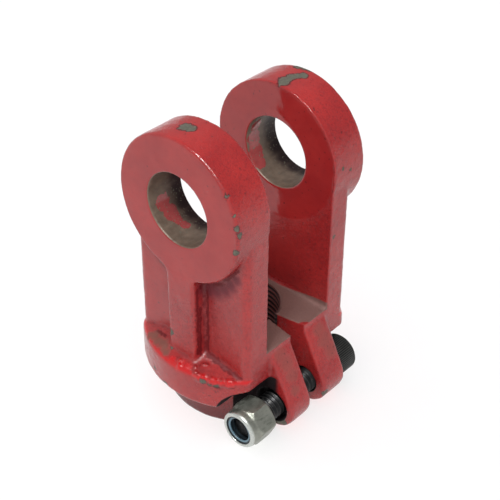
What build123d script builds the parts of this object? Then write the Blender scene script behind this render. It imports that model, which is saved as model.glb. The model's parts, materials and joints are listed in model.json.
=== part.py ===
from build123d import *
import math
import os

# Clamp-type rod clevis: a cast fork with a tapped, split base, its clamp screw and a lock nut.
# Frame: origin on the pin axis midway between the eyes, +Y along the pin, +Z away from the rod.

# Fork
PIN_BORE_DIA = 25.8        # clears a 1 in (25.4) clevis pin
EYE_DIA = 52.0
FORK_GAP = 31.8
EYE_SPAN = 62.5            # over the outer faces of the two eyes
ARM_WIDTH = 50.6
PANEL_SPAN = 52.0          # over the recessed outer faces of the arms
RIB_WIDTH = 12.2
THROAT_DEPTH = 54.0        # pin axis to the floor of the fork
THROAT_FILLET = 1.5
ARM_FOOT_DEPTH = 70.0      # pin axis to the arm's foot inside the collar
ARM_EDGE = 3.0
EYE_EDGE = 1.0
RIB_TOP_FILLET = 3.0
PIN_BORE_CHAMFER = 0.4
CAST_EDGE = 1.2

# Base
ROD_BORE_DIA = 26.3        # minor diameter of the 1 1/8-12 rod thread
ROD_BORE_CHAMFER = 1.2
COLLAR_DIA = 72.0
COLLAR_TOP_DEPTH = 61.3    # pin axis to the collar's outer top edge
COLLAR_ROOT_DEPTH = 56.6   # pin axis to the shoulder where it meets the arm's panel
COLLAR_BOTTOM_DEPTH = 74.0
SHELF_EDGE = 2.5
HUB_DIA = 56.0
HUB_TOP_DEPTH = 58.0       # the hub swells from the arms' width here
HUB_SHOULDER_DEPTH = 64.0  # to its full diameter here
BASE_DEPTH = 87.5          # pin axis to the bottom face

# Clamp lugs
SCREW_X = 26.2
LUG_RADIUS = 9.2
LUG_FRONT_Y = 14.2         # outer face of the nut-side lug, at -Y
LUG_BACK_Y = 15.4          # outer face of the head-side lug, at +Y
LUG_ROOT = 5.0             # how far outside the rod bore the lug's profile starts
SLOT_WIDTH = 7.2
SLOT_ROOT_WIDTH = 3.4
LUG_HOLE_DIA = 10.3
COUNTERBORE_DIA = 13.4
COUNTERBORE_DEPTH = 4.0
NUT_POCKET_RADIUS = 10.6   # wrench room round the nut
NUT_POCKET_FILLET = 2.0
HEAD_POCKET_RADIUS = 9.2   # room round the screw head
HEAD_POCKET_FILLET = 1.0
POCKET_X = 26.9
POCKET_DEPTH = 76.2        # pin axis to the middle of a pocket's round top

# Clamp screw, 3/8-16 x 1 3/4 socket head
HEAD_DIA = 14.29
HEAD_HEIGHT = 9.53
HEAD_EDGE = 0.7
HEAD_FOOT_EDGE = 0.4
KNURL_TEETH = 60
KNURL_DEPTH = 0.18
SOCKET_FLATS = 7.94
SOCKET_DEPTH = 5.0
SOCKET_POINT = 1.6         # drill cone below the flats
SOCKET_LEAD_IN = 0.4
SHANK_DIA = 9.52
SHANK_LENGTH = 12.7
THREAD_PITCH_DIA = 8.4     # plain stand-in for the 3/8-16 thread
SCREW_LENGTH = 44.45
SCREW_TIP_CHAMFER = 0.9

# Lock nut, 3/8-16 with a nylon insert
NUT_FLATS = 14.29
NUT_LENGTH = 11.6
NUT_HEX_LENGTH = 8.0
NUT_BEARING_Y = 20.2       # distance of the nut's bearing face from the fork's mid-plane
NUT_TURN = 5.0             # angle of one hexagon corner above +X
NUT_CORNER_CHAMFER = 0.9
NUT_ROLL = 1.1             # how far the collar is rolled in over the insert
NUT_BORE_DIA = 8.5
NUT_MOUTH_CHAMFER = 0.7
NUT_LIP_DIA = 10.8
NUT_LIP_THICKNESS = 0.7
NUT_COLLAR_DIA = 14.1
INSERT_OUTER_DIA = 11.9
INSERT_BORE_DIA = 8.52
INSERT_LENGTH = 2.6

# Worked-out values
PIN_R = PIN_BORE_DIA / 2
EYE_R = EYE_DIA / 2
GAP_HALF = FORK_GAP / 2
EYE_OUT = EYE_SPAN / 2
ARM_HALF = ARM_WIDTH / 2
PANEL_Y = PANEL_SPAN / 2
COLLAR_R = COLLAR_DIA / 2
HUB_R = HUB_DIA / 2
ROD_R = ROD_BORE_DIA / 2
SCREW_Z = -BASE_DEPTH + LUG_RADIUS
SLOT_HALF = SLOT_WIDTH / 2
NUT_FRONT_Y = NUT_BEARING_Y + NUT_LENGTH
HEX_CORNER_R = NUT_FLATS / 2 / math.cos(math.pi / 6)
THROUGH = 100.0


def along_y(profile, y_low, y_high):
    """Extrude a profile drawn as (x, z) from y_low to y_high."""
    return extrude(Plane.XZ.offset(-y_low) * profile, -(y_high - y_low))


def y_cylinder(radius, y_low, y_high, x=0.0, z=0.0):
    return along_y(Pos(x, z) * Circle(radius), y_low, y_high)


def y_revolve(points, x, z):
    """Turn an outline of (radius, y) points about the Y-parallel line through x, z."""
    outline = make_face(Polyline(*points, close=True))
    return Pos(x, 0, z) * revolve(outline, Axis.Y)


def z_revolve(profile):
    """Turn a profile drawn as (radius, z) about Z."""
    return revolve(Plane.XZ * profile, Axis.Z)


def edges_at_y(solid, y):
    return solid.edges().filter_by(lambda e: abs(e.bounding_box().min.Y - y) < 0.01
                                   and abs(e.bounding_box().max.Y - y) < 0.01)


# ---------------------------------------------------------------- fork casting

def eye_and_rib(side):
    """Full-thickness eye with the central rib running down from it."""
    disc = Circle(EYE_R)
    rib = Pos(0, -COLLAR_TOP_DEPTH / 2) * Rectangle(RIB_WIDTH, COLLAR_TOP_DEPTH)
    outline = disc + rib
    joints = outline.vertices().filter_by(lambda v: -EYE_R < v.Y < -EYE_R / 2)
    outline = fillet(joints, RIB_TOP_FILLET)
    low, high = sorted((side * GAP_HALF, side * EYE_OUT))
    solid = along_y(outline, low, high)
    return fillet(edges_at_y(solid, side * EYE_OUT), EYE_EDGE)


def arm_plate(side):
    """The thinner plate of one arm, from the eye down into the collar."""
    low, high = sorted((side * GAP_HALF, side * PANEL_Y))
    plate = along_y(Pos(0, -ARM_FOOT_DEPTH / 2) * Rectangle(ARM_WIDTH, ARM_FOOT_DEPTH), low, high)
    outer = plate.edges().filter_by(Axis.Z).filter_by(lambda e: abs(abs(e.center().Y) - PANEL_Y) < 0.1)
    return fillet(outer, ARM_EDGE)


def collar():
    """Round collar cut flush with the sides of the arms, its corners rounded like theirs."""
    profile = make_face(Polyline(
        (0, -COLLAR_BOTTOM_DEPTH),
        (COLLAR_R, -COLLAR_BOTTOM_DEPTH),
        (COLLAR_R, -COLLAR_TOP_DEPTH),
        (PANEL_Y, -COLLAR_ROOT_DEPTH),
        (0, -COLLAR_ROOT_DEPTH),
        close=True))
    rim = profile.vertices().filter_by(lambda v: v.X > COLLAR_R - 0.1)
    profile = fillet(rim.sort_by(Axis.Y)[0:1], CAST_EDGE)
    top = profile.vertices().filter_by(lambda v: abs(v.X - COLLAR_R) < 0.1).sort_by(Axis.Y)[-1:]
    profile = fillet(top, SHELF_EDGE)
    plan = Circle(COLLAR_R) & Rectangle(ARM_WIDTH, COLLAR_DIA)
    plan = fillet(plan.vertices(), ARM_EDGE)
    return z_revolve(profile) & extrude(Plane.XY.offset(-THROUGH) * plan, THROUGH)


def throat_block():
    """Solid web between the arms, whose top is the floor of the fork."""
    height = COLLAR_BOTTOM_DEPTH - THROAT_DEPTH
    return Pos(0, 0, -THROAT_DEPTH - height / 2) * Box(ARM_WIDTH, FORK_GAP, height)


def hub():
    profile = make_face(Polyline(
        (0, -BASE_DEPTH),
        (HUB_R, -BASE_DEPTH),
        (HUB_R, -HUB_SHOULDER_DEPTH),
        (ARM_HALF, -HUB_TOP_DEPTH),
        (0, -HUB_TOP_DEPTH),
        close=True))
    foot = profile.vertices().filter_by(lambda v: v.X > HUB_R - 0.1).sort_by(Axis.Y)[0:1]
    return z_revolve(fillet(foot, CAST_EDGE))


def lug_outline():
    """Lug seen along the screw: a flank sloping out from the fork floor to a round end."""
    top = (ARM_HALF, -THROAT_DEPTH - THROAT_FILLET)
    reach = math.hypot(top[0] - SCREW_X, top[1] - SCREW_Z)
    bearing = math.atan2(top[1] - SCREW_Z, top[0] - SCREW_X) - math.acos(LUG_RADIUS / reach)
    touch = (SCREW_X + LUG_RADIUS * math.cos(bearing), SCREW_Z + LUG_RADIUS * math.sin(bearing))
    middle = (SCREW_X + LUG_RADIUS * math.cos(bearing / 2 - math.pi / 4),
              SCREW_Z + LUG_RADIUS * math.sin(bearing / 2 - math.pi / 4))
    bottom = (SCREW_X, -BASE_DEPTH)
    inner = ROD_R + LUG_ROOT
    return make_face([
        Line(top, touch),
        ThreePointArc(touch, middle, bottom),
        Line(bottom, (inner, -BASE_DEPTH)),
        Line((inner, -BASE_DEPTH), (inner, top[1])),
        Line((inner, top[1]), top)])


def lug(y_low, y_high):
    solid = along_y(lug_outline(), y_low, y_high)
    rims = edges_at_y(solid, y_low) + edges_at_y(solid, y_high)
    outer = rims.filter_by(lambda e: e.center().X > ROD_R + LUG_ROOT + 0.1
                           and e.center().Z > -BASE_DEPTH + 0.1)
    outer = outer.filter_by(lambda e: e.bounding_box().max.X > ARM_HALF + 0.1)
    return fillet(outer, CAST_EDGE)


def pocket(side):
    """Cutter for the wrench pocket outside one lug: round at the top, open below."""
    if side < 0:
        face_y, radius, floor_fillet = -LUG_FRONT_Y, NUT_POCKET_RADIUS, NUT_POCKET_FILLET
    else:
        face_y, radius, floor_fillet = LUG_BACK_Y, HEAD_POCKET_RADIUS, HEAD_POCKET_FILLET
    low, high = sorted((face_y, side * THROUGH / 2))
    below = BASE_DEPTH + 5 - POCKET_DEPTH
    outline = Pos(POCKET_X, -POCKET_DEPTH) * Circle(radius)
    outline += Pos(POCKET_X, -POCKET_DEPTH - below / 2) * Rectangle(2 * radius, below)
    return fillet(edges_at_y(along_y(outline, low, high), face_y), floor_fillet)


def clamp_slot():
    """Cutter for the slot, narrow at the rod bore and parallel between the lugs."""
    root = SLOT_ROOT_WIDTH / 2
    plan = make_face(Polyline(
        (0, -root),
        (ROD_R, -root),
        (ARM_HALF, -SLOT_HALF),
        (THROUGH / 2, -SLOT_HALF),
        (THROUGH / 2, SLOT_HALF),
        (ARM_HALF, SLOT_HALF),
        (ROD_R, root),
        (0, root),
        close=True))
    return extrude(Plane.XY.offset(-BASE_DEPTH - 5) * plan, BASE_DEPTH + 5 - THROAT_DEPTH + 2)


def rod_bore():
    bore = Pos(0, 0, -THROUGH / 2 - THROAT_DEPTH + 5) * Cylinder(ROD_R, THROUGH)
    mouth = z_revolve(make_face(Polyline(
        (0, -BASE_DEPTH - 1),
        (ROD_R + ROD_BORE_CHAMFER + 1, -BASE_DEPTH - 1),
        (ROD_R, -BASE_DEPTH + ROD_BORE_CHAMFER),
        (0, -BASE_DEPTH + ROD_BORE_CHAMFER),
        close=True)))
    return bore + mouth


def pin_bore():
    """Cutter for both eyes, with a small chamfer at each of the four mouths."""
    cutter = y_cylinder(PIN_R, -THROUGH, THROUGH)
    edge = PIN_BORE_CHAMFER
    for side in (-1, 1):
        for face in (GAP_HALF, EYE_OUT):
            into = 1 if face == GAP_HALF else -1
            cutter += y_revolve((
                (0, side * (face - into)),
                (PIN_R + edge + 1, side * (face - into)),
                (PIN_R, side * (face + into * edge)),
                (0, side * (face + into * edge))), 0, 0)
    return cutter


def screw_holes():
    holes = y_cylinder(LUG_HOLE_DIA / 2, -THROUGH, THROUGH, SCREW_X, SCREW_Z)
    return holes + y_cylinder(COUNTERBORE_DIA / 2, -THROUGH, -LUG_FRONT_Y + COUNTERBORE_DEPTH,
                              SCREW_X, SCREW_Z)


def yoke():
    body = throat_block() + collar() + hub()
    for side in (-1, 1):
        body += arm_plate(side)
        body += eye_and_rib(side)
    body += lug(-LUG_FRONT_Y, -SLOT_HALF)
    body += lug(SLOT_HALF, LUG_BACK_Y)
    corners = body.edges().filter_by(Axis.X).filter_by(
        lambda e: abs(e.center().Z + THROAT_DEPTH) < 0.01 and abs(abs(e.center().Y) - GAP_HALF) < 0.01)
    body = fillet(corners, THROAT_FILLET)
    body -= pocket(-1)
    body -= pocket(1)
    body -= clamp_slot()
    body -= rod_bore()
    body -= pin_bore()
    body -= screw_holes()
    return body


# ---------------------------------------------------------------- clamp screw

def knurled_head():
    """Head blank with straight knurl ridges and a rounded-off outer edge."""
    radius = HEAD_DIA / 2
    points = []
    for i in range(2 * KNURL_TEETH):
        r = radius - (KNURL_DEPTH if i % 2 else 0)
        angle = math.pi * i / KNURL_TEETH
        points.append((SCREW_X + r * math.cos(angle), SCREW_Z + r * math.sin(angle)))
    top = LUG_BACK_Y + HEAD_HEIGHT
    blank = along_y(make_face(Polyline(*points, close=True)), LUG_BACK_Y, top)
    envelope = y_revolve((
        (0, LUG_BACK_Y),
        (radius - HEAD_FOOT_EDGE + 0.1, LUG_BACK_Y),
        (radius + 0.1, LUG_BACK_Y + HEAD_FOOT_EDGE),
        (radius + 0.1, top - HEAD_EDGE - 0.1),
        (radius - HEAD_EDGE, top),
        (0, top)), SCREW_X, SCREW_Z)
    return blank & envelope


def clamp_screw():
    top = LUG_BACK_Y + HEAD_HEIGHT
    tip = LUG_BACK_Y - SCREW_LENGTH
    thread_r = THREAD_PITCH_DIA / 2
    shank = y_cylinder(SHANK_DIA / 2, LUG_BACK_Y - SHANK_LENGTH, LUG_BACK_Y + 1, SCREW_X, SCREW_Z)
    thread = y_revolve((
        (0, tip),
        (thread_r - SCREW_TIP_CHAMFER, tip),
        (thread_r, tip + SCREW_TIP_CHAMFER),
        (thread_r, LUG_BACK_Y),
        (0, LUG_BACK_Y)), SCREW_X, SCREW_Z)
    hexagon = Pos(SCREW_X, SCREW_Z) * RegularPolygon(SOCKET_FLATS / 2, 6, major_radius=False)
    socket = along_y(hexagon, top - SOCKET_DEPTH, top + 1)
    corner_r = SOCKET_FLATS / 2 / math.cos(math.pi / 6)
    drill_point = y_revolve((
        (0, top - SOCKET_DEPTH - SOCKET_POINT),
        (SOCKET_FLATS / 2 - 0.2, top - SOCKET_DEPTH + 0.1),
        (0, top - SOCKET_DEPTH + 0.1)), SCREW_X, SCREW_Z)
    lead_in = y_revolve((
        (0, top - SOCKET_LEAD_IN),
        (corner_r - 0.1, top - SOCKET_LEAD_IN),
        (corner_r - 0.1 + 2 * SOCKET_LEAD_IN, top + SOCKET_LEAD_IN),
        (0, top + SOCKET_LEAD_IN)), SCREW_X, SCREW_Z)
    return knurled_head() + shank + thread - socket - drill_point - lead_in


# ---------------------------------------------------------------- lock nut

def nut_body():
    """Hexagon with chamfered corners, running into the rolled collar that holds the insert."""
    hexagon = Pos(SCREW_X, SCREW_Z) * RegularPolygon(NUT_FLATS / 2, 6, rotation=NUT_TURN, major_radius=False)
    blank = along_y(hexagon, -NUT_FRONT_Y, -NUT_BEARING_Y)
    collar_r = NUT_COLLAR_DIA / 2
    hex_end = -NUT_BEARING_Y - NUT_HEX_LENGTH
    envelope = y_revolve((
        (0, -NUT_BEARING_Y),
        (NUT_FLATS / 2 - 0.3, -NUT_BEARING_Y),
        (HEX_CORNER_R + 0.1, -NUT_BEARING_Y - NUT_CORNER_CHAMFER),
        (HEX_CORNER_R + 0.1, hex_end + NUT_CORNER_CHAMFER),
        (collar_r, hex_end - NUT_CORNER_CHAMFER / 2),
        (collar_r, -NUT_FRONT_Y + NUT_ROLL),
        (collar_r - NUT_ROLL * 0.3, -NUT_FRONT_Y + NUT_ROLL * 0.3),
        (collar_r - NUT_ROLL, -NUT_FRONT_Y),
        (0, -NUT_FRONT_Y)), SCREW_X, SCREW_Z)
    seat_y = -NUT_FRONT_Y + NUT_LIP_THICKNESS + INSERT_LENGTH
    bore = y_cylinder(NUT_BORE_DIA / 2, -THROUGH, 0, SCREW_X, SCREW_Z)
    seat = y_cylinder(INSERT_OUTER_DIA / 2, -NUT_FRONT_Y + NUT_LIP_THICKNESS, seat_y, SCREW_X, SCREW_Z)
    lip = y_cylinder(NUT_LIP_DIA / 2, -THROUGH, -NUT_FRONT_Y + NUT_LIP_THICKNESS + 0.1, SCREW_X, SCREW_Z)
    mouth = y_revolve((
        (0, -NUT_BEARING_Y + 0.1),
        (NUT_BORE_DIA / 2 + NUT_MOUTH_CHAMFER + 0.1, -NUT_BEARING_Y + 0.1),
        (NUT_BORE_DIA / 2, -NUT_BEARING_Y - NUT_MOUTH_CHAMFER),
        (0, -NUT_BEARING_Y - NUT_MOUTH_CHAMFER)), SCREW_X, SCREW_Z)
    return (blank & envelope) - bore - seat - lip - mouth


def nut_insert():
    """Nylon ring seated in the nut's collar."""
    low = -NUT_FRONT_Y + NUT_LIP_THICKNESS
    ring = y_cylinder(INSERT_OUTER_DIA / 2, low, low + INSERT_LENGTH, SCREW_X, SCREW_Z)
    return ring - y_cylinder(INSERT_BORE_DIA / 2, -THROUGH, THROUGH, SCREW_X, SCREW_Z)


PIECES = {
    "yoke": yoke,
    "clamp_screw": clamp_screw,
    "lock_nut": nut_body,
    "nut_insert": nut_insert,
}

os.makedirs("parts", exist_ok=True)
for name, build in PIECES.items():
    export_step(build(), f"parts/{name}.step")
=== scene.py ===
import json
import math
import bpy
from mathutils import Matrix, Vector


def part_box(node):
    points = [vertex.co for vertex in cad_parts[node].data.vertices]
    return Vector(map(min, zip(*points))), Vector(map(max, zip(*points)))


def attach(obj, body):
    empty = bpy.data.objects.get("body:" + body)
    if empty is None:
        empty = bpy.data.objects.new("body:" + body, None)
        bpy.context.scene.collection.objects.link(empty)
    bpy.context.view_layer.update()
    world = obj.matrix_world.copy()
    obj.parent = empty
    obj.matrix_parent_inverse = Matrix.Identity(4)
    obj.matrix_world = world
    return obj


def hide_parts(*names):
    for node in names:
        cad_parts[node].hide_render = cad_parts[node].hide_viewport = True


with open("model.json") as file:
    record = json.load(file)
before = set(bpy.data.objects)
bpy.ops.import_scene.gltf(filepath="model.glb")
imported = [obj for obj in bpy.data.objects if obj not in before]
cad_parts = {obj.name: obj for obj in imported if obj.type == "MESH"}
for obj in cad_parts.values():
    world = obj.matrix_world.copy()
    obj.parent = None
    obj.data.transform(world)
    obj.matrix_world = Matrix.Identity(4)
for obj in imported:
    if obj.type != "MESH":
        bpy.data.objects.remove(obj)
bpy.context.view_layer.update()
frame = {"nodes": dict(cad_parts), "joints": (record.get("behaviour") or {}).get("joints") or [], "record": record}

from types import SimpleNamespace

import bpy
import numpy as np
from mathutils import Matrix, Vector, noise

# A clamp-type rod clevis: red enamelled casting, black cap screw, zinc lock nut with a nylon ring.
# Lengths are in millimetres until a mesh is made, then in metres, in the frame of the CAD model:
# the pin runs along Y through the origin, the rod comes up from -Z, the clamp lugs are at +X.

MM = 0.001

# What the frame says of the fork, the screw and the nut
MOUNTS = {m["name"]: m for m in frame["record"]["mounts"]}
JOINTS = {j["name"]: j for j in frame["joints"]}
PIN_R = MOUNTS["pin_bore"]["dims"]["r_mm"]
ROD_R = MOUNTS["rod_thread"]["dims"]["r_mm"]
SCREW_X = JOINTS["clamp_screw_spin"]["pos_m"][0] / MM
SCREW_Z = JOINTS["clamp_screw_spin"]["pos_m"][2] / MM
YOKE_LOW, YOKE_HIGH = (np.array(corner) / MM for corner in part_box("yoke"))
SCREW_LOW, SCREW_HIGH = (np.array(corner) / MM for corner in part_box("clamp_screw"))
NUT_END_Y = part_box("lock_nut")[0][1] / MM
INSERT_END_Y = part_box("nut_insert")[0][1] / MM
EYE_R = YOKE_HIGH[2]
HEAD_R = (SCREW_HIGH[0] - SCREW_LOW[0]) / 2

# The rest of the casting's shape, with the CAD model's values
GAP_HALF = 15.9                         # of the fork
ARM_HALF = 25.3                         # along X
THROAT_Z = -54.0                        # the fork's floor
SHELF_Z = -61.3                         # the shoulder's outer edge
POCKET_X, POCKET_Z = 26.9, -76.2        # middle of both wrench pockets' round tops
NUT_POCKET_R, HEAD_POCKET_R = 10.6, 9.2
LUG_NUT_Y, LUG_HEAD_Y = -14.2, 15.4     # the lugs' outer faces
HOLE_R, SEAT_R = 5.15, 6.7              # the screw's hole, and its counterbore on the nut's side
SEAT_FLOOR_Y = -10.2

# Threads: share of a pitch and radius for each corner of one turn's profile,
# and the first and last turn of each helix, counted from the origin
ROD_PITCH = 25.4 / 12
ROD_GROOVE = ((0.10, ROD_R - 0.4), (0.42, 14.2), (0.58, 14.2), (0.90, ROD_R - 0.4))
ROD_TURNS = (-43, -23)
SCREW_PITCH = 25.4 / 16
SCREW_RIDGE = ((0.13, 3.85), (0.44, 4.72), (0.56, 4.72), (0.87, 3.85))
SCREW_TURNS = (-21, 4)
NUT_GROOVE = ((0.19, 4.12), (0.40, 4.86), (0.60, 4.86), (0.81, 4.12))
NUT_TURNS = (-23, -10)
INSERT_TURNS = (-23, -14)
SHANK_END_Y = 2.7
THREAD_R, THREAD_TIP_R, THREAD_ROOT_R = 4.8, 3.5, 3.9   # the screw's, and at its tip and its run-out


# ---------------------------------------------------------------- mesh tools

def new_object(name, points, faces):
    """A mesh object from points in millimetres."""
    mesh = bpy.data.meshes.new(name)
    mesh.from_pydata([tuple(p) for p in np.asarray(points) * MM], [], faces)
    mesh.validate()
    obj = bpy.data.objects.new(name, mesh)
    bpy.context.scene.collection.objects.link(obj)
    return obj


def copy_of(node, name):
    """A new object with a copy of a CAD node's mesh, its double points welded."""
    obj = bpy.data.objects.new(name, frame["nodes"][node].data.copy())
    obj.matrix_world = frame["nodes"][node].matrix_world
    bpy.context.scene.collection.objects.link(obj)
    obj.data.materials.clear()
    change(obj, "WELD", merge_threshold=0.002 * MM)
    return obj


def change(obj, kind, **settings):
    """Add one modifier and apply it."""
    modifier = obj.modifiers.new(kind.lower(), kind)
    for key, value in settings.items():
        setattr(modifier, key, value)
    evaluated = obj.evaluated_get(bpy.context.evaluated_depsgraph_get())
    mesh = bpy.data.meshes.new_from_object(evaluated)
    obj.modifiers.clear()
    old = obj.data
    obj.data = mesh
    bpy.data.meshes.remove(old)


def combine(obj, tool, operation):
    """Boolean with a closed tool, which is used up."""
    change(obj, "BOOLEAN", object=tool, operation=operation, solver="MANIFOLD")
    bpy.data.objects.remove(tool)


def points_of(obj):
    """Vertex places in millimetres."""
    flat = np.empty(len(obj.data.vertices) * 3)
    obj.data.vertices.foreach_get("co", flat)
    return flat.reshape(-1, 3) / MM


def normals_of(obj):
    flat = np.empty(len(obj.data.vertices) * 3)
    obj.data.vertices.foreach_get("normal", flat)
    return flat.reshape(-1, 3)


def edges_of(obj):
    flat = np.empty(len(obj.data.edges) * 2, dtype=np.int64)
    obj.data.edges.foreach_get("vertices", flat)
    return flat.reshape(-1, 2)


def set_points(obj, points):
    obj.data.vertices.foreach_set("co", (points * MM).ravel())
    obj.data.update()


def neighbour_mean(values, edges):
    """Mean of a value over each vertex's neighbours."""
    count = np.bincount(edges.ravel(), minlength=len(values)).clip(1)
    columns = values.reshape(len(values), -1)
    out = np.empty_like(columns)
    for k in range(columns.shape[1]):
        column = columns[:, k]
        total = np.bincount(edges[:, 0], column[edges[:, 1]], len(values))
        total += np.bincount(edges[:, 1], column[edges[:, 0]], len(values))
        out[:, k] = total / count
    return out.reshape(values.shape)


def relax(points, edges, weight, steps):
    """Round off edges and corners: each step moves a point towards its neighbours' mean by its weight."""
    for _ in range(steps):
        points = points + (neighbour_mean(points, edges) - points) * weight[:, None]
    return points


def bend_of(points, normals, edges, steps):
    """How much the surface turns, blurred: positive in hollows, negative on outer edges, in 1/mm."""
    bend = ((neighbour_mean(points, edges) - points) * normals).sum(axis=1)
    for _ in range(steps):
        bend = neighbour_mean(bend, edges)
    return bend


def smooth_step(x, low, high):
    """0 up to low, 1 from high on, smooth between."""
    t = np.clip((x - low) / (high - low), 0, 1)
    return t * t * (3 - 2 * t)


def lumps(points, size, seed):
    """Smooth noise from -1 to 1 whose lumps are about size across."""
    shift = Vector((seed * 17.3, seed * 5.1, seed * 9.7))
    return np.array([noise.noise(Vector(p) + shift) for p in (points / size).tolist()])


def set_attribute(obj, name, values):
    """Store one number for each vertex, for the materials to read."""
    layer = obj.data.attributes.new(name, "FLOAT", "POINT")
    layer.data.foreach_set("value", np.asarray(values, dtype=np.float32))


def finish_with(obj, made, body, node):
    """Give a piece its one material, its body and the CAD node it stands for."""
    obj.data.materials.clear()
    obj.data.materials.append(made)
    obj.data.polygons.foreach_set("material_index", [0] * len(obj.data.polygons))
    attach(obj, body)
    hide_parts(node)


def shade(obj, angle=None):
    """Smooth shading, or smooth up to an angle in degrees."""
    if angle is None:
        obj.data.polygons.foreach_set("use_smooth", [True] * len(obj.data.polygons))
    else:
        obj.data.shade_smooth()
        obj.data.set_sharp_from_angle(angle=math.radians(angle))


def thread(name, profile, pitch, ends, sides=96):
    """A closed rod about Z whose surface follows a right-hand helix; ends are its first and last turn."""
    first, last = ends
    column = [(turn + share, radius) for turn in range(first, last) for share, radius in profile]
    rows, corners = len(column), len(profile)
    points = []
    for i in range(sides):
        angle = 2 * math.pi * i / sides
        for turns, radius in column:
            points.append((radius * math.cos(angle), radius * math.sin(angle), (turns + i / sides) * pitch))
    faces = []
    for i in range(sides):
        step = corners if i == sides - 1 else 0
        for j in range(rows - 1 - step):
            here, there = i * rows + j, (i + 1) % sides * rows + j + step
            faces.append((here, there, there + 1, here + 1))
    low_rim = [i * rows for i in range(sides)] + list(range(corners, 0, -1))
    last_column = (sides - 1) * rows
    high_rim = [i * rows + rows - 1 for i in range(sides)]
    high_rim += list(range(last_column + rows - 2, last_column + rows - 2 - corners, -1))
    for rim, turns, flip in ((low_rim, first, True), (high_rim, last, False)):
        centre = len(points)
        points.append((0, 0, turns * pitch))
        for a, b in zip(rim, rim[1:] + rim[:1]):
            faces.append((b, a, centre) if flip else (a, b, centre))
    return new_object(name, points, faces)


def onto_screw_axis(obj):
    """Turn a tool made about Z so that it lies along +Y on the clamp screw's axis."""
    points = points_of(obj)[:, [1, 2, 0]]
    set_points(obj, points + np.array((SCREW_X, 0, SCREW_Z)))


def lathe(name, outline, sides=96):
    """A closed solid of (radius, height) points turned about Z; the first and last lie on the axis."""
    ring = outline[1:-1]
    points = [(0, 0, outline[0][1]), (0, 0, outline[-1][1])]
    for i in range(sides):
        angle = 2 * math.pi * i / sides
        points += [(r * math.cos(angle), r * math.sin(angle), h) for r, h in ring]
    faces = []
    for i in range(sides):
        here, there = 2 + i * len(ring), 2 + (i + 1) % sides * len(ring)
        faces.append((0, there, here))
        faces.append((1, here + len(ring) - 1, there + len(ring) - 1))
        for j in range(len(ring) - 1):
            faces.append((here + j, there + j, there + j + 1, here + j + 1))
    return new_object(name, points, faces)


# ---------------------------------------------------------------- node tools

def material(name):
    """A material with one Principled shader: (material, its tree, the shader)."""
    made = bpy.data.materials.new(name)
    made.use_nodes = True
    tree = made.node_tree
    tree.nodes.clear()
    shader = tree.nodes.new("ShaderNodeBsdfPrincipled")
    output = tree.nodes.new("ShaderNodeOutputMaterial")
    tree.links.new(shader.outputs[0], output.inputs[0])
    return made, tree, shader


def put(tree, kind, links=None, **settings):
    """Add a node. links maps input names or numbers to sockets or values."""
    node = tree.nodes.new(kind)
    for key, value in settings.items():
        setattr(node, key, value)
    for key, value in (links or {}).items():
        if isinstance(value, bpy.types.NodeSocket):
            tree.links.new(value, node.inputs[key])
        else:
            node.inputs[key].default_value = value
    return node


def attribute(tree, name):
    """A number stored in the mesh."""
    return put(tree, "ShaderNodeAttribute", attribute_name=name).outputs["Fac"]


def place_in_mm(tree):
    """The object's own coordinates, in millimetres."""
    raw = put(tree, "ShaderNodeTexCoord").outputs["Object"]
    return vector(tree, "MULTIPLY", raw, (1 / MM, 1 / MM, 1 / MM))


def vector(tree, operation, a, b=(0, 0, 0)):
    """One step of vector arithmetic."""
    return put(tree, "ShaderNodeVectorMath", {0: a, 1: b}, operation=operation).outputs[0]


def warped(tree, place, size, reach):
    """A place pushed about by up to about reach, in lumps about size across."""
    links = {"Vector": place, "Scale": 1 / size, "Detail": 3.0}
    noise_colour = put(tree, "ShaderNodeTexNoise", links).outputs["Color"]
    push = vector(tree, "SUBTRACT", noise_colour, (0.5, 0.5, 0.5))
    gain = 4 * reach
    return vector(tree, "ADD", place, vector(tree, "MULTIPLY", push, (gain, gain, gain)))


def distance_from(tree, place, centre=(0, 0, 0), keep=(1, 1, 1)):
    """Distance from a point, or from a line along the axis that keep leaves out."""
    flat = vector(tree, "MULTIPLY", vector(tree, "SUBTRACT", place, centre), keep)
    return put(tree, "ShaderNodeVectorMath", {0: flat}, operation="LENGTH").outputs["Value"]


def above(tree, value, limit, soft=0.15):
    """1 above a limit and 0 below it, with a soft edge."""
    return remap(tree, value, limit - soft, limit + soft)


def below(tree, value, limit, soft=0.15):
    """1 below a limit and 0 above it, with a soft edge."""
    return remap(tree, value, limit + soft, limit - soft)


def product(tree, first, *others):
    """Where all of the masks are."""
    for other in others:
        first = calc(tree, "MULTIPLY", first, other)
    return first


def union(tree, first, *others):
    """Where any of the masks is."""
    for other in others:
        first = calc(tree, "MAXIMUM", first, other)
    return first


def spots(tree, place, centres):
    """1 at each centre, falling to 0 at its reach."""
    fields = []
    for centre, reach in centres:
        fields.append(falling(tree, distance_from(tree, place, centre), reach))
    return union(tree, *fields)


def stroke(tree, place, start, end, reach):
    """1 on a straight line from start to end, falling to 0 at reach from it."""
    along = np.array(end, dtype=float) - np.array(start, dtype=float)
    from_start = vector(tree, "SUBTRACT", place, start)
    links = {0: from_start, 1: tuple(along / along.dot(along))}
    share = put(tree, "ShaderNodeVectorMath", links, operation="DOT_PRODUCT").outputs["Value"]
    share = calc(tree, "ADD", share, 0.0, clamp=True)
    links = {0: tuple(along), "Scale": share}
    onto = put(tree, "ShaderNodeVectorMath", links, operation="SCALE").outputs[0]
    return falling(tree, distance_from(tree, from_start, onto), reach)


def falling(tree, distance, reach):
    """1 at no distance, falling straight to 0 at reach."""
    share = calc(tree, "MULTIPLY", distance, 1 / reach)
    return calc(tree, "SUBTRACT", 1.0, share, clamp=True)


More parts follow.
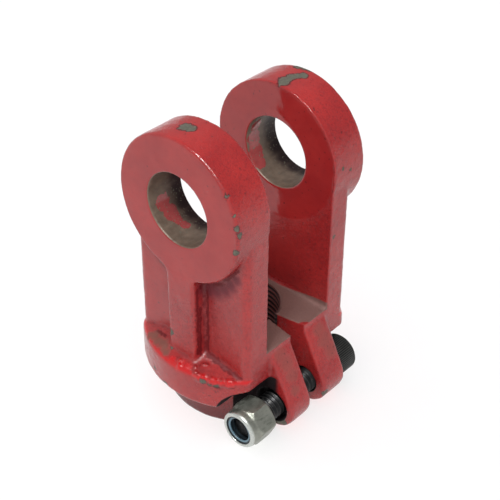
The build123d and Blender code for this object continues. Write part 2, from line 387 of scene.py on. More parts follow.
def grain(tree, size, detail=3.0, rough=0.55, stretch=(1, 1, 1)):
    """Noise from 0 to 1 in the object's own space, with features about size millimetres across."""
    place = put(tree, "ShaderNodeTexCoord").outputs["Object"]
    spread = put(tree, "ShaderNodeMapping", {"Vector": place, "Scale": stretch})
    scale = 1 / (size * MM)
    links = {"Vector": spread.outputs[0], "Scale": scale, "Detail": detail, "Roughness": rough}
    return put(tree, "ShaderNodeTexNoise", links).outputs["Fac"]


def calc(tree, operation, a, b=0.0, clamp=False):
    """One step of arithmetic."""
    return put(tree, "ShaderNodeMath", {0: a, 1: b}, operation=operation, use_clamp=clamp).outputs[0]


def remap(tree, value, low, high, to_low=0.0, to_high=1.0):
    """A value brought smoothly from the range low..high to the range to_low..to_high."""
    links = {"Value": value, "From Min": low, "From Max": high, "To Min": to_low, "To Max": to_high}
    return put(tree, "ShaderNodeMapRange", links, interpolation_type="SMOOTHSTEP").outputs[0]


def blend_colour(tree, share, a, b):
    """Colour a where the share is 0, b where it is 1."""
    return put(tree, "ShaderNodeMix", {0: share, 6: a, 7: b}, data_type="RGBA").outputs[2]


def colour(red, green, blue):
    """A colour given as it looks on a screen, from 0 to 255, as a linear colour."""
    def linear(c):
        c = c / 255
        return c / 12.92 if c <= 0.04045 else ((c + 0.055) / 1.055) ** 2.4
    return (linear(red), linear(green), linear(blue), 1)


def layered(tree, tone, layers):
    """A colour with others laid over it in turn, each given as its share and its colour."""
    for share, over in layers:
        tone = blend_colour(tree, share, tone, over)
    return tone


def bump(tree, height, depth, under=None):
    """A bump of depth millimetres for a height from 0 to 1, on top of the bump under it."""
    links = {"Height": height, "Distance": depth * MM}
    if under is not None:
        links["Normal"] = under
    return put(tree, "ShaderNodeBump", links).outputs[0]


# ---------------------------------------------------------------- the casting

# The skin as cast: each layer of lumps has its height, its size and its seed
SMOOTH_SKIN = ((0.10, 13, 1), (0.05, 5, 2), (0.02, 1.8, 3))
SANDY_SKIN = ((0.10, 2.4, 4), (0.05, 1.1, 5))

# Shallow dents under the paint's larger chips: place, reach and depth
DENTS = (
    ((-0.8, -23.6, 26.0), 3.0, 0.12),
    ((21.3, -30.9, 14.7), 1.6, 0.25),
    ((25.4, -30.7, 4.8), 1.7, 0.30),
    ((25.9, -30.2, 2.0), 1.4, 0.25),
    ((25.2, -31.1, -4.2), 1.8, 0.25),
    ((-5.3, -31.2, -52.2), 1.8, 0.25),
    ((12.3, -34.0, -63.0), 1.6, 0.20),
    ((16.7, -32.0, -63.4), 1.6, 0.20),
    ((-4.6, -35.8, -73.4), 2.0, 0.30),
    ((35.1, 4.9, -80.5), 2.0, 0.25),
)

# Chips down to the iron: centre and reach, as in the other tables of spots
CHIPS = (
    ((-2.3, -23.6, 26.0), 3.6),
    ((-0.6, -23.4, 26.0), 3.0),
    ((1.0, 18.2, 26.0), 3.2),
    ((0.3, 20.2, 26.0), 3.2),
    ((0.4, 22.6, 26.0), 3.0),
    ((1.4, 24.6, 26.0), 2.8),
    ((2.6, 26.2, 25.9), 2.6),
    ((-2.6, 30.2, 25.7), 2.6),
    ((-0.4, 30.6, 25.6), 2.2),
    ((1.6, 30.9, 25.5), 1.8),
    ((21.3, -30.8, 14.7), 1.2),
    ((24.2, -30.9, 8.9), 0.8),
    ((25.4, -30.7, 4.8), 1.6),
    ((25.9, -30.1, 2.0), 1.3),
    ((25.2, -31.1, -4.2), 1.7),
    ((-5.3, -31.2, -52.2), 2.2),
    ((-4.6, -31.2, -59.4), 1.2),
    ((12.3, -33.9, -62.7), 1.6),
    ((14.6, -32.9, -63.2), 1.1),
    ((16.7, -31.9, -63.3), 1.5),
    ((-4.6, -35.8, -73.0), 2.2),
    ((-11.0, -34.2, -70.5), 1.1),
    ((35.1, 4.9, -80.5), 2.2),
    ((31.4, -14.2, -83.2), 2.6),
    ((29.0, -14.2, -84.6), 2.2),
    ((25.9, 19.9, 2.6), 1.1),
    ((25.3, 17.7, -23.7), 1.1),
    ((25.6, 24.0, 0.5), 1.0),
    ((-24.9, 28.0, 7.0), 1.8),
    ((-25.2, -20.0, -30.0), 1.4),
    ((-20.0, 29.6, -61.0), 1.9),
    ((9.0, 34.9, -62.3), 2.2),
    ((3.0, 31.2, -41.0), 1.3),
    ((-18.5, 31.2, 17.8), 1.9),
)

# Brown bare metal where the shoulder has been scraped
SCRAPES = (
    ((-16.6, -30.8, -61.0), 2.4),
    ((-14.4, -30.2, -60.3), 3.0),
    ((-12.0, -31.2, -60.4), 3.2),
    ((-9.6, -31.2, -60.0), 3.2),
    ((-7.6, -32.2, -60.2), 2.8),
    ((-5.6, -33.4, -60.5), 2.4),
)

# Thin, dirty paint on the lugs' slanted faces
HAZE = (
    ((28.8, 10.9, -62.7), 5.0),
    ((27.0, 9.8, -59.0), 4.0),
    ((31.0, 12.2, -67.1), 4.6),
    ((28.3, -9.0, -61.6), 4.6),
    ((26.4, -10.5, -57.7), 4.0),
    ((30.3, -8.6, -65.8), 4.2),
    ((33.2, -9.5, -70.5), 3.0),
)

# Wet paint gathered on the shoulder
POOLS = (
    ((-1.5, -34.9, -61.0), 2.6),
    ((2.0, -34.7, -61.0), 3.0),
    ((5.0, -34.2, -61.0), 2.8),
    ((11.5, -33.6, -61.4), 2.0),
    ((16.0, -31.9, -61.5), 2.0),
    ((20.0, -29.7, -61.6), 2.0),
    ((0.0, 33.8, -60.5), 4.0),
    ((9.0, 32.6, -60.6), 3.4),
)

# Drops of wet paint that stand on the shoulder, as upright columns: only their x and y count.
# In the mesh a drop is this high where it stands alone, on a foot this many times its reach.
DROP_HEIGHT = 0.7
DROP_FOOT = 1.5
DROPS = (
    ((2.0, -34.8, 0), 0.8),
    ((1.2, -33.6, 0), 0.7),
    ((7.6, -32.6, 0), 0.8),
    ((8.7, -33.9, 0), 0.9),
    ((9.4, -30.6, 0), 1.0),
    ((10.6, -30.0, 0), 0.9),
    ((10.2, -33.9, 0), 0.8),
    ((11.8, -33.6, 0), 0.9),
    ((14.8, -32.4, 0), 1.0),
    ((16.3, -31.9, 0), 0.8),
    ((17.9, -30.9, 0), 1.0),
    ((19.8, -29.7, 0), 1.1),
    ((21.2, -28.7, 0), 1.1),
    ((4.0, 34.4, 0), 1.2),
)

# Painted shadow on the panel under the front eye's overhang and beside the rib
SOOT = (
    ((8.0, -26.4, -30.0), 5.5),
    ((11.5, -26.2, -28.6), 5.5),
    ((15.0, -26.2, -26.4), 5.0),
    ((18.0, -26.2, -23.4), 4.5),
    ((20.6, -26.2, -20.0), 3.5),
    ((-16.0, -26.2, -24.0), 5.0),
    ((-12.0, -26.2, -27.5), 5.0),
)

# Overspray on the bores' walls
SPRAY = (
    ((-11.9, -25.6, -5.2), 4.2),
    ((-9.9, -24.6, -8.3), 4.2),
    ((-7.4, -23.6, -10.6), 2.8),
    ((-4.8, -22.8, -12.0), 2.4),
    ((-11.6, 19.0, -6.0), 4.8),
    ((-12.8, 19.4, -1.0), 4.2),
    ((-12.0, 20.0, 4.2), 3.6),
    ((-9.5, 18.6, -8.8), 3.8),
    ((12.0, 22.0, 5.0), 5.0),
)

# Rippled paint at the rib's foot, which mirrors little of the room
RIPPLES = (
    ((10.0, -30.6, -60.8), 4.5),
    ((14.0, -29.8, -60.8), 5.0),
    ((18.0, -28.6, -61.0), 4.0),
)

# Dark streaks, each with its start, end and reach: the first four are paint that has run and dried dark, the last
# three are painted shadow where the panel meets the shoulder and under the front eye's edge
RUNS = (
    ((7.6, -26.0, -31.0), (7.5, -26.0, -57.0), 0.9),
    ((6.1, -29.2, -30.0), (6.1, -29.4, -57.0), 1.1),
    ((6.1, -28.0, -38.0), (6.1, -28.4, -58.0), 0.9),
    ((-15.0, -28.2, -59.4), (-10.5, -28.7, -58.8), 0.9),
    ((8.0, -26.8, -57.4), (22.3, -26.4, -60.6), 1.7),
    ((6.4, -27.2, -29.0), (14.0, -26.4, -25.0), 1.5),
    ((14.0, -26.4, -25.0), (21.5, -26.6, -15.5), 1.3),
)

BODY_SPACING = 0.4
BODY_TRIANGLES = 190_000
EDGE_STEPS, HOLLOW_STEPS = 5, 8     # rounds of smoothing: over the whole casting, then in its hollows
BLUR_STEPS, SPREAD_STEPS = 4, 5     # rounds that blur the bend, and that widen the hollows found from it


def near(points, place, reach):
    """1 at a place, falling to 0 at reach millimetres from it."""
    return np.clip(1 - np.linalg.norm(points - np.array(place), axis=1) / reach, 0, 1)


def machined_share(points):
    """1 on the machined faces: the pin bores, the rod's bore and the screw's holes."""
    x, y, z = points.T
    pin_bores = 1 - smooth_step(np.abs(np.hypot(x, z) - PIN_R), 0.6, 1.6)
    rod_bore = (np.hypot(x, y) < ROD_R + 1.2) & (z < THROAT_Z + 1)
    screw_holes = (np.hypot(x - SCREW_X, z - SCREW_Z) < SEAT_R + 0.9) & (np.abs(y) < LUG_HEAD_Y + 0.6)
    return np.maximum(pin_bores, rod_bore | screw_holes)


def coarse_skin(points):
    """Where the sand-cast skin shows most: the rib's flank, the eyes' rims and the arms' sides."""
    x, y, z = points.T
    rib = near(points, (6.1, -28.5, -46), 14)
    rim = smooth_step(np.hypot(x, z), EYE_R - 1.5, EYE_R - 0.5) * (0.7 + 0.3 * smooth_step(x, 2, 18))
    side = smooth_step(x, ARM_HALF - 1, ARM_HALF) * smooth_step(z, -50, -20)
    return np.clip(1.4 * rib + 0.7 * rim + 0.4 * side, 0, 1.5)


def layered_lumps(points, layers):
    """The height of several layers of lumps together."""
    return sum(height * lumps(points, size, seed) for height, size, seed in layers)


def drop_heights(points):
    """How far the drops of wet paint stand up from the shoulder."""
    on_shelf = 1 - smooth_step(np.abs(points[:, 2] - SHELF_Z - 0.5), 2.0, 3.0)
    drops = sum(near(points * (1, 1, 0), place, DROP_FOOT * reach) for place, reach in DROPS)
    return DROP_HEIGHT * on_shelf * smooth_step(drops, 0, 1)


def casting():
    """The yoke with its edges softened, its skin lumpy as cast, and a real thread cut in the base."""
    body = copy_of("yoke", "yoke_casting")
    change(body, "REMESH", mode="VOXEL", voxel_size=BODY_SPACING * MM, adaptivity=0)
    points, edges = points_of(body), edges_of(body)
    from_pin = np.hypot(points[:, 0], points[:, 2])
    machined = machined_share(points)
    points = relax(points, edges, 0.5 * (1 - 0.9 * machined), EDGE_STEPS)
    set_points(body, points)
    bend = bend_of(points, normals_of(body), edges, BLUR_STEPS)
    hollow = smooth_step(bend, 0.002, 0.02) * (1 - machined)
    for _ in range(SPREAD_STEPS):
        hollow = np.maximum(hollow, neighbour_mean(hollow, edges))
    points = relax(points, edges, 0.5 * hollow, HOLLOW_STEPS)
    set_points(body, points)
    skin = (1 - machined) * smooth_step(from_pin, PIN_R + 0.5, PIN_R + 3)
    swell = layered_lumps(points, SMOOTH_SKIN) + coarse_skin(points) * layered_lumps(points, SANDY_SKIN)
    dents = sum(depth * near(points, place, reach) ** 1.5 for place, reach, depth in DENTS)
    lift = swell * skin - dents + drop_heights(points)
    set_points(body, points + normals_of(body) * lift[:, None])
    groove = thread("groove", ROD_GROOVE, ROD_PITCH, ROD_TURNS)
    combine(body, groove, "DIFFERENCE")
    change(body, "DECIMATE", ratio=BODY_TRIANGLES / (2 * len(body.data.polygons)))
    shade(body)
    return body


def paint_fields(body):
    """Fields of the surface's shape: its outer edges, its hollows and its coarse skin."""
    points, normals, edges = points_of(body), normals_of(body), edges_of(body)
    bend = bend_of(points, normals, edges, 3)
    set_attribute(body, "outer_edge", smooth_step(-bend, 0.008, 0.05))
    set_attribute(body, "hollow", smooth_step(bend, 0.004, 0.035))
    set_attribute(body, "coarse", coarse_skin(points))


def bare_places(tree, place, ragged):
    """The casting's faces without gloss paint: (bores, fork floor, holes, base, pockets, thread crests); the holes
    and pockets also carry painted shade, the crests a painted highlight.
    """
    parts = put(tree, "ShaderNodeSeparateXYZ", {0: place}).outputs
    x, y, z = parts[0], parts[1], parts[2]
    across = calc(tree, "ABSOLUTE", y)
    from_pin = distance_from(tree, place, keep=(1, 0, 1))
    from_rod = distance_from(tree, place, keep=(1, 1, 0))
    from_screw = distance_from(tree, place, (SCREW_X, 0, SCREW_Z), (1, 0, 1))
    uneven = calc(tree, "MULTIPLY", ragged, 0.9)
    bore = product(tree, below(tree, from_pin, PIN_R + 0.3), above(tree, z, -20.0))
    painted_corner = distance_from(tree, place, (27.2, 2.2, THROAT_Z))
    # The bare floor climbs further up the arms' fillets towards +X, and stops short of one painted corner
    floor = product(
        tree,
        above(tree, z, THROAT_Z - 0.35),
        below(tree, calc(tree, "SUBTRACT", z, remap(tree, x, 4, 26, 0.0, 2.2)), THROAT_Z + 0.3),
        below(tree, across, GAP_HALF + 0.4),
        below(tree, calc(tree, "ADD", x, uneven), ARM_HALF + 0.3, 0.2),
        above(tree, calc(tree, "ADD", painted_corner, uneven), 4.4, 0.2))
    rod_thread = product(tree, below(tree, from_rod, 14.5), below(tree, z, THROAT_Z - 0.35))
    screw_hole = product(tree, below(tree, from_screw, HOLE_R + 0.45), below(tree, across, LUG_HEAD_Y + 0.2))
    seat = product(
        tree,
        below(tree, from_screw, SEAT_R + 0.25),
        below(tree, y, SEAT_FLOOR_Y + 1.2),
        above(tree, y, LUG_NUT_Y - 0.15))
    base = below(tree, calc(tree, "ADD", z, uneven), YOKE_LOW[2] + 0.35)
    # The rod thread's crests, pale for a painted highlight tinted red by overspray
    crest = product(tree, rod_thread, below(tree, from_rod, ROD_R + 0.05, 0.3))
    return bore, floor, union(tree, rod_thread, screw_hole, seat), base, pockets(tree, x, y, z), crest


def pockets(tree, x, y, z):
    """The walls and floor of the wrench pockets outside the lugs, where dirty bare metal and painted shade make
    them near black.
    """
    drop = calc(tree, "MAXIMUM", calc(tree, "SUBTRACT", z, POCKET_Z), 0.0)
    aside = calc(tree, "SUBTRACT", x, POCKET_X)
    squares = calc(tree, "ADD", product(tree, drop, drop), product(tree, aside, aside))
    from_middle = calc(tree, "SQRT", squares)
    radius = remap(tree, y, -1, 1, NUT_POCKET_R, HEAD_POCKET_R)
    return product(
        tree,
        below(tree, calc(tree, "SUBTRACT", from_middle, radius), 0.35),
        above(tree, calc(tree, "ABSOLUTE", y), 13.9),
        below(tree, x, 28.5, 1.0))


def bore_grime():
    """Painted shade round the far end of each bore's wall, deepest at the top: centres and reaches."""
    places = []
    for y in (-17.0, 29.5):
        for degrees in range(100, 331, 23):
            angle = math.radians(degrees)
            places.append(((PIN_R * math.cos(angle), y, PIN_R * math.sin(angle)), 12.5 - degrees / 40))
    return places


def shelf_line(tree, place):
    """The thin run of wet paint along the shoulder's rounded edge."""
    from_rod = distance_from(tree, place, keep=(1, 1, 0))
    height = put(tree, "ShaderNodeSeparateXYZ", {0: place}).outputs[2]
    off_line = calc(tree, "ABSOLUTE", calc(tree, "SUBTRACT", height, SHELF_Z - 0.2))
    return product(tree, above(tree, from_rod, 34.4, 0.6), below(tree, off_line, 0.55, 0.5))


def enamel_grains(tree):
    """The places and the noises that the enamel's masks are made from."""
    place = place_in_mm(tree)
    return SimpleNamespace(
        place=place,
        pushed=warped(tree, place, 1.6, 0.5),
        height=put(tree, "ShaderNodeSeparateXYZ", {0: place}).outputs[2],
        fine=grain(tree, 0.5),
        speck=grain(tree, 0.7, 2, 0.4),
        middle=grain(tree, 2.2, 4),
        broad=grain(tree, 16, 3),
        ragged=calc(tree, "SUBTRACT", grain(tree, 1.6, 5, 0.7), 0.5),
        coarse=attribute(tree, "coarse"))


def patch(tree, g, field, low, high, spread):
    """1 inside a field, with a ragged edge."""
    return remap(tree, calc(tree, "ADD", field, calc(tree, "MULTIPLY", g.ragged, spread)), low, high)


def enamel_masks(tree, g):
    """Where the enamel is wet, chipped, worn, scraped, dirty, oversprayed or missing, and where shade and
    highlights are painted on.
    """
    m = SimpleNamespace()
    line = shelf_line(tree, g.place)
    outer_edge = attribute(tree, "outer_edge")
    m.pool = union(tree, line, remap(tree, spots(tree, g.pushed, POOLS), 0.0, 0.7))
    on_shelf = below(tree, calc(tree, "ABSOLUTE", calc(tree, "SUBTRACT", g.height, SHELF_Z + 0.5)), 2.5)
    columns = spots(tree, vector(tree, "MULTIPLY", g.place, (1, 1, 0)), DROPS)
    m.drops = product(tree, remap(tree, columns, 0.0, 1.0), on_shelf)
    m.wet = union(tree, m.drops, line, outer_edge)
    dry = calc(tree, "SUBTRACT", 1.0, m.wet)
    m.ripple = product(tree, remap(tree, spots(tree, g.place, RIPPLES), 0.0, 0.5), dry)

    chips = spots(tree, g.pushed, CHIPS)
    m.chip = patch(tree, g, chips, 0.36, 0.44, 0.6)
    m.chip_rim = calc(tree, "SUBTRACT", patch(tree, g, chips, 0.20, 0.32, 0.6), m.chip)
    m.worn = product(tree, patch(tree, g, outer_edge, 0.95, 1.05, 0.9), remap(tree, g.speck, 0.60, 0.66))
    m.scrape = patch(tree, g, spots(tree, g.pushed, SCRAPES), 0.05, 0.75, 0.7)

    m.haze = patch(tree, g, spots(tree, g.place, HAZE), 0.05, 0.65, 0.9)
    # Painted shadow under the front eye's overhang
    m.dust = remap(tree, spots(tree, g.pushed, SOOT), 0.0, 0.8, 0.0, 0.75)
    # Painted shade in the hollows, with dark paint runs and painted shadow lines
    in_hollows = product(tree, attribute(tree, "hollow"), remap(tree, g.middle, 0.25, 0.6, 0.45, 1.0))
    runs = union(tree, *(stroke(tree, g.pushed, *run) for run in RUNS))
    m.dirt = union(tree, in_hollows, product(tree, patch(tree, g, runs, 0.15, 0.6, 1.0), 0.9))

    bore, m.floor, m.threads, m.base, m.pocket, m.crest = bare_places(tree, g.place, g.ragged)
    spray = patch(tree, g, spots(tree, g.pushed, SPRAY), 0.24, 0.34, 0.7)
    # Painted shade inside the pin bores, darkest at the top
    grime = remap(tree, spots(tree, g.pushed, bore_grime()), 0.0, 0.75, 0.0, 0.95)
    m.bare_bore = product(tree, bore, calc(tree, "SUBTRACT", 1.0, spray))
    m.sprayed_bore = product(tree, bore, spray)
    m.grimy_bore = product(tree, bore, grime)
    return m


def red_paint(tree, g, m):
    """The paint's colour: mottled, deep red where it has pooled, with painted shade in its hollows, along creases,
    under the front eye and towards the hub's bottom.
    """
    red = blend_colour(tree, remap(tree, g.broad, 0.3, 0.7), colour(140, 33, 34), colour(155, 40, 39))
    mottle = product(tree, remap(tree, g.coarse, 0.2, 1.0), remap(tree, g.speck, 0.53, 0.62))
    pits = remap(tree, grain(tree, 1.3, 1, 0.3), 0.735, 0.76)
    # Painted shade on the hub, darker towards its bottom
    on_hub = below(tree, distance_from(tree, g.place, keep=(1, 1, 0)), 29)
    low = product(tree, below(tree, g.height, -80.0, 7.0), on_hub)
    return layered(tree, red, (
        (remap(tree, g.middle, 0.45, 0.8, 0, 0.4), colour(128, 28, 32)),
        (product(tree, m.haze, 0.65), colour(128, 66, 60)),
        # painted shadow under the front eye's overhang
        (m.dust, colour(84, 32, 44)),
        # painted shade in hollows and along creases, with dark paint runs
        (m.dirt, colour(92, 8, 14)),
        (product(tree, mottle, 0.5), colour(96, 24, 30)),
        (product(tree, pits, 0.7), colour(76, 20, 24)),
        (m.pool, colour(176, 14, 18)),
        # painted shade towards the hub's bottom
        (product(tree, low, 0.8), colour(74, 14, 18)),
    ))


def painted_casting(tree, g, m):
    """The paint, with the casting's iron where it is bare, scraped, chipped or machined, and painted shade in the
    bores, holes and pockets.
    """
    iron = blend_colour(tree, g.speck, colour(52, 52, 46), colour(116, 112, 98))
    iron_bore = blend_colour(tree, g.middle, colour(68, 56, 47), colour(134, 114, 98))
    iron_floor = blend_colour(tree, g.fine, colour(98, 68, 63), colour(128, 94, 87))
    scraped = blend_colour(tree, g.middle, colour(94, 60, 52), colour(124, 86, 76))
    # Near black: oiled bare metal with painted shade inside the holes and the rod's thread
    dark = blend_colour(tree, g.fine, colour(14, 12, 12), colour(36, 30, 30))
    # Overspray's red, made pinker as a painted reflection of the floor at a grazing angle
    sprayed = blend_colour(tree, g.middle, colour(124, 40, 42), colour(160, 70, 68))
    return layered(tree, red_paint(tree, g, m), (
        (m.bare_bore, iron_bore),
        (m.sprayed_bore, sprayed),
        # painted shade in the pin bores
        (m.grimy_bore, colour(40, 28, 31)),
        (m.floor, iron_floor),
        (m.base, iron),
        (product(tree, m.scrape, 0.85), scraped),
        (product(tree, m.chip_rim, 0.85), colour(50, 14, 16)),
        (union(tree, m.chip, m.worn), iron),
        # dirty metal and painted shade in the wrench pockets
        (m.pocket, colour(26, 16, 18)),
        # oiled metal and painted shade in the holes
        (m.threads, dark),
        # painted highlight on the rod thread's crests
        (m.crest, colour(150, 84, 80)),
    ))


def enamel_relief(tree, g, m):
    """The finest lumps of the skin, the ripples of the pooled paint and the chips' edges."""
    skin = bump(tree, g.broad, 0.06)
    skin = bump(tree, g.middle, 0.018, skin)
    skin = bump(tree, product(tree, g.coarse, g.fine), 0.20, skin)
    skin = bump(tree, product(tree, m.pool, grain(tree, 1.2, 2)), 0.06, skin)
    skin = bump(tree, m.drops, 0.15, skin)
    return bump(tree, calc(tree, "SUBTRACT", 1.0, m.chip), 0.12, skin)


def enamel():
    """Gloss red enamel over cast iron: pooled, chipped, scraped, thin on the machined faces."""
    made, tree, shader = material("red_enamel")
    g = enamel_grains(tree)
    m = enamel_masks(tree, g)
    tree.links.new(painted_casting(tree, g, m), shader.inputs["Base Color"])
    bare = union(tree, m.bare_bore, m.floor, m.base, m.chip, m.worn, m.threads)
    dull = union(
        tree,
        m.scrape,
        m.pocket,
        product(tree, union(tree, m.dirt, m.dust), 0.7),
        product(tree, m.haze, 0.4),
        m.grimy_bore,
        product(tree, m.ripple, 0.9))
    gloss = remap(tree, calc(tree, "ADD", g.coarse, g.middle), 0.3, 1.6, 0.05, 0.32)
    gloss = calc(tree, "ADD", gloss, product(tree, m.pool, 0.10))
    gloss = product(tree, gloss, calc(tree, "SUBTRACT", 1.0, product(tree, m.wet, 0.75)))
    matt = product(tree, union(tree, bare, dull), 0.45)
    tree.links.new(calc(tree, "ADD", gloss, matt), shader.inputs["Roughness"])
    tree.links.new(remap(tree, dull, 0.0, 1.0, 0.5, 0.15), shader.inputs["Specular IOR Level"])
    tree.links.new(product(tree, bare, 0.3), shader.inputs["Metallic"])
    tree.links.new(enamel_relief(tree, g, m), shader.inputs["Normal"])
    return made


# ---------------------------------------------------------------- screw and nut

NUT_SPACING, INSERT_SPACING = 0.16, 0.12

# The tool that clears the plain stand-in off the screw's threaded length: radius and far end
CUTTER_R, CUTTER_END = 9, -60


def clamp_screw():
    """The cap screw with its knurled head and a rolled 3/8-16 thread."""
    screw = copy_of("clamp_screw", "cap_screw")
    cutter = lathe("cutter", (
        (0, CUTTER_END), (CUTTER_R, CUTTER_END), (CUTTER_R, SHANK_END_Y), (0, SHANK_END_Y)))
    onto_screw_axis(cutter)
    combine(screw, cutter, "DIFFERENCE")
    ridge = thread("ridge", SCREW_RIDGE, SCREW_PITCH, SCREW_TURNS)
    onto_screw_axis(ridge)
    tip, root = SCREW_LOW[1], SHANK_END_Y + 0.4
    blank = lathe("blank", (
        (0, tip), (THREAD_TIP_R, tip), (THREAD_R, tip + 1.3),
        (THREAD_R, SHANK_END_Y - 0.6), (THREAD_ROOT_R, root), (0, root)))
    onto_screw_axis(blank)
    combine(ridge, blank, "INTERSECT")
    combine(screw, ridge, "UNION")
    shade(screw, 32)
    return screw


def lock_nut():
    """The nut body with a rolled, softened collar and a cut thread."""
    nut = copy_of("lock_nut", "lock_nut_body")
    change(nut, "REMESH", mode="VOXEL", voxel_size=NUT_SPACING * MM, adaptivity=0)
    points, edges = points_of(nut), edges_of(nut)
    radius = np.hypot(points[:, 0] - SCREW_X, points[:, 2] - SCREW_Z)
    outer = smooth_step(radius, 4.8, 5.4)
    points = relax(points, edges, 0.1 + 0.4 * outer, 22)
    flats = outer * smooth_step(points[:, 1], NUT_END_Y + 1.0, NUT_END_Y + 3.0)
    points += normals_of(nut) * (flats * 0.03 * lumps(points, 2.5, 6))[:, None]
    set_points(nut, points)
    groove = thread("groove", NUT_GROOVE, SCREW_PITCH, NUT_TURNS)
    onto_screw_axis(groove)
    combine(nut, groove, "DIFFERENCE")
    change(nut, "DECIMATE", ratio=0.5)
    shade(nut, 40)
    return nut


def insert():
    """The nylon ring, with the thread that the screw has formed in it."""
    ring = copy_of("nut_insert", "nylon_ring")
    change(ring, "REMESH", mode="VOXEL", voxel_size=INSERT_SPACING * MM, adaptivity=0)
    softness = np.full(len(ring.data.vertices), 0.5)
    set_points(ring, relax(points_of(ring), edges_of(ring), softness, 5))
    groove = thread("groove", NUT_GROOVE, SCREW_PITCH, INSERT_TURNS)
    onto_screw_axis(groove)
    combine(ring, groove, "DIFFERENCE")
    change(ring, "DECIMATE", ratio=0.4)
    shade(ring, 40)
    return ring


def round_the_screw(tree):
    """Distance from the clamp screw's axis, and y along that axis."""
    place = place_in_mm(tree)
    radius = distance_from(tree, place, (SCREW_X, 0, SCREW_Z), (1, 0, 1))
    return radius, put(tree, "ShaderNodeSeparateXYZ", {0: place}).outputs[1]


def black_oxide():
    """Oiled black oxide, rubbed in patches, paler on the thread's crests as a painted highlight, with painted
    shade in the knurling's grooves and a darker shank.
    """
    made, tree, shader = material("black_oxide")
    fine, middle = grain(tree, 0.35, 4), grain(tree, 2.5, 4)
    radius, along = round_the_screw(tree)
    head = above(tree, along, LUG_HEAD_Y + 0.1)
    # The thread's crests, paler for a painted highlight
    crest = product(tree, above(tree, radius, 4.6, 0.08), below(tree, along, SHANK_END_Y))
    # Painted shade in the knurling's grooves
    knurl = product(tree, head, below(tree, radius, HEAD_R - 0.08, 0.04), above(tree, radius, HEAD_R - 0.6))
    rub = remap(tree, grain(tree, 1.6, 5, 0.7), 0.58, 0.70)
    tone = layered(tree, blend_colour(tree, middle, colour(44, 45, 44), colour(78, 79, 76)), (
        (calc(tree, "SUBTRACT", 1.0, head), colour(10, 11, 13)),
        (product(tree, rub, 0.5), colour(104, 102, 96)),
        (product(tree, crest, 0.3), colour(96, 96, 94)),
        (knurl, colour(4, 4, 4)),
    ))
    tree.links.new(tone, shader.inputs["Base Color"])
    tree.links.new(remap(tree, middle, 0.25, 0.75, 0.34, 0.55), shader.inputs["Roughness"])
    shader.inputs["Metallic"].default_value = 0.55
    tree.links.new(bump(tree, fine, 0.03), shader.inputs["Normal"])
    return made


def zinc():
    """Dull zinc with scuffed flats, pale and smoother on the rolled end for a painted highlight, with painted
    shade in the bore.
    """
    made, tree, shader = material("zinc_plate")
    fine, middle = grain(tree, 0.3, 4), grain(tree, 2.0, 5, 0.65)
    scuffs = grain(tree, 1.2, 5, 0.7, (1, 0.25, 1))
    radius, along = round_the_screw(tree)
    # The rolled end, made pale as a painted highlight
    crown = below(tree, along, NUT_END_Y + 0.9, 0.5)
    tone = layered(tree, blend_colour(tree, middle, colour(116, 118, 109), colour(162, 164, 154)), (
        (remap(tree, scuffs, 0.52, 0.68, 0, 0.7), colour(100, 104, 94)),
        (product(tree, crown, 0.7), colour(206, 210, 206)),
        # painted shade in the nut's bore
        (below(tree, radius, 5.0, 0.2), colour(40, 42, 44)),
    ))
    tree.links.new(tone, shader.inputs["Base Color"])
    dull = remap(tree, middle, 0.2, 0.8, 0.36, 0.56)
    tree.links.new(calc(tree, "SUBTRACT", dull, product(tree, crown, 0.18)), shader.inputs["Roughness"])
    shader.inputs["Metallic"].default_value = 0.8
    skin = bump(tree, product(tree, middle, calc(tree, "SUBTRACT", 1.0, crown)), 0.04)
    tree.links.new(bump(tree, fine, 0.008, skin), shader.inputs["Normal"])
    return made


def nylon():
    """Blue-grey nylon, pale on its end face and darkened with painted shade down the bore."""
    made, tree, shader = material("nylon")
    radius, along = round_the_screw(tree)
    end_face = product(tree, below(tree, along, INSERT_END_Y + 0.35, 0.15), below(tree, radius, 4.85, 0.12))
    pale = blend_colour(tree, grain(tree, 1.2, 3), colour(72, 98, 112), colour(104, 130, 142))
    # Dark everywhere but the end face: painted shade down the bore
    tree.links.new(blend_colour(tree, end_face, colour(20, 30, 36), pale), shader.inputs["Base Color"])
    shader.inputs["Roughness"].default_value = 0.4
    shader.inputs["Subsurface Weight"].default_value = 0.05
    shader.inputs["Subsurface Scale"].default_value = 0.3 * MM
    tree.links.new(bump(tree, grain(tree, 0.4, 3), 0.03), shader.inputs["Normal"])
    return made


# ---------------------------------------------------------------- stage, light and camera

FLOOR_HALF = 3.0 / MM

# Where the camera stands, in metres, its angles in degrees and its lens and sensor in millimetres
CAMERA_PLACE = Vector((0.21404, -0.23653, 0.20144))
CAMERA_AZIMUTH = 41.733
CAMERA_ELEVATION = 36.209
CAMERA_ROLL = 0.28
CAMERA_LENS = 82.46
SENSOR = 36.0


def floor():
    """A wide pale floor that the clevis stands on."""
    signs = ((-1, -1), (1, -1), (1, 1), (-1, 1))
    corners = [(x * FLOOR_HALF, y * FLOOR_HALF, YOKE_LOW[2]) for x, y in signs]
    plane = new_object("floor", corners, [(0, 1, 2, 3)])
    made, tree, shader = material("pale_floor")
    tone = blend_colour(tree, grain(tree, 40, 4), colour(246, 246, 246), colour(250, 250, 250))
    tree.links.new(tone, shader.inputs["Base Color"])
    shader.inputs["Roughness"].default_value = 0.9
    plane.data.materials.append(made)
    return plane


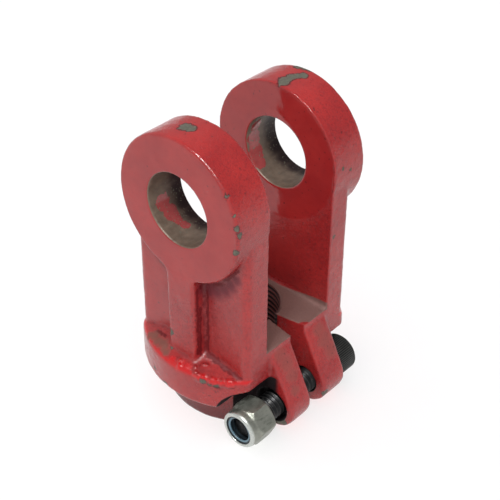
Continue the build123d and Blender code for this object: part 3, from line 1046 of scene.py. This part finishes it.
# The studio's lamps, in metres and watts: direction, size, power, and whether reflections show them.
# A lamp that reflections show lights nothing else.
LAMP_TARGET = Vector((0, 0, -0.030))
LAMP_DISTANCE = 2.0
LAMPS = (
    ("key", (-0.45, 0.40, 0.80), 1.2, 20, False),
    ("side", (0.62, -0.25, 0.74), 1.5, 22, False),
    ("fill", (0.22, -0.44, 0.87), 0.6, 20, False),
    ("glint", (0.15, -0.44, 0.89), 0.3, 50, True),
)

# The lamp overhead that whitens the floor: distance, size and power
TABLE_FILL = (3.0, 1.5, 72)

# The room's brightness, the shade of its dim parts, and the way to its dim corner
ROOM_STRENGTH = 0.74
DIM_SHADE = (0.34, 0.34, 0.35, 1)
DIM_CORNER = Vector((0.60, 0.55, 0.58)).normalized()


def lamp(name, direction, distance, size, watts):
    """An area lamp in a direction from the clevis's middle, facing it."""
    data = bpy.data.lights.new(name, "AREA")
    data.size = size
    data.energy = watts
    obj = bpy.data.objects.new(name, data)
    bpy.context.scene.collection.objects.link(obj)
    toward = Vector(direction).normalized()
    obj.location = LAMP_TARGET + toward * distance
    obj.rotation_euler = toward.to_track_quat("Z", "Y").to_euler()
    return obj


def light_only(light, piece, state="INCLUDE"):
    """Keep a lamp's light and shadows to one piece, or away from it."""
    lit = bpy.data.collections.new(light.name + "_lit")
    lit.objects.link(piece)
    lit.collection_objects[0].light_linking.link_state = state
    light.light_linking.receiver_collection = lit
    light.light_linking.blocker_collection = lit


def sky():
    """A pale room, dim overhead, towards +Y and in one corner."""
    world = bpy.data.worlds.new("room")
    bpy.context.scene.world = world
    world.use_nodes = True
    tree = world.node_tree
    background = tree.nodes["Background"]
    way = put(tree, "ShaderNodeTexCoord").outputs["Generated"]
    links = {0: way, 1: DIM_CORNER}
    corner = put(tree, "ShaderNodeVectorMath", links, operation="DOT_PRODUCT").outputs["Value"]
    parts = put(tree, "ShaderNodeSeparateXYZ", {0: way}).outputs
    dim = union(
        tree,
        remap(tree, corner, 0.66, 0.84),
        remap(tree, parts[2], 0.60, 0.85),
        remap(tree, parts[1], 0.0, 0.6, 0.0, 0.8))
    tree.links.new(blend_colour(tree, dim, (1, 1, 1, 1), DIM_SHADE), background.inputs["Color"])
    background.inputs["Strength"].default_value = ROOM_STRENGTH


def camera():
    """The camera, rolled a little about its line of sight."""
    data = bpy.data.cameras.new("camera")
    data.lens = CAMERA_LENS
    data.sensor_width = SENSOR
    data.clip_start, data.clip_end = 0.01, 20
    obj = bpy.data.objects.new("camera", data)
    bpy.context.scene.collection.objects.link(obj)
    turn, lift, roll = (math.radians(a) for a in (CAMERA_AZIMUTH, CAMERA_ELEVATION, CAMERA_ROLL))
    back = Vector((math.sin(turn) * math.cos(lift), -math.cos(turn) * math.cos(lift), math.sin(lift)))
    right = Vector((math.cos(turn), math.sin(turn), 0))
    up = back.cross(right)
    rolled_right = math.cos(roll) * right + math.sin(roll) * up
    rolled_up = math.cos(roll) * up - math.sin(roll) * right
    axes = Matrix((rolled_right, rolled_up, back)).transposed()
    obj.matrix_world = Matrix.Translation(CAMERA_PLACE) @ axes.to_4x4()
    bpy.context.scene.camera = obj


# ---------------------------------------------------------------- the scene

body = casting()
paint_fields(body)
finish_with(body, enamel(), "yoke", "yoke")
finish_with(clamp_screw(), black_oxide(), "screw", "clamp_screw")
finish_with(lock_nut(), zinc(), "nut", "lock_nut")
finish_with(insert(), nylon(), "nut", "nut_insert")

plane = floor()
sky()
for name, direction, size, watts, mirrored in LAMPS:
    light = lamp(name, direction, LAMP_DISTANCE, size, watts)
    light.visible_glossy = mirrored
    light.visible_diffuse = not mirrored
    light_only(light, plane, "EXCLUDE")
light_only(lamp("table_fill", (0, 0, 1), *TABLE_FILL), plane)
camera()
bpy.context.scene.view_settings.view_transform = "Standard"
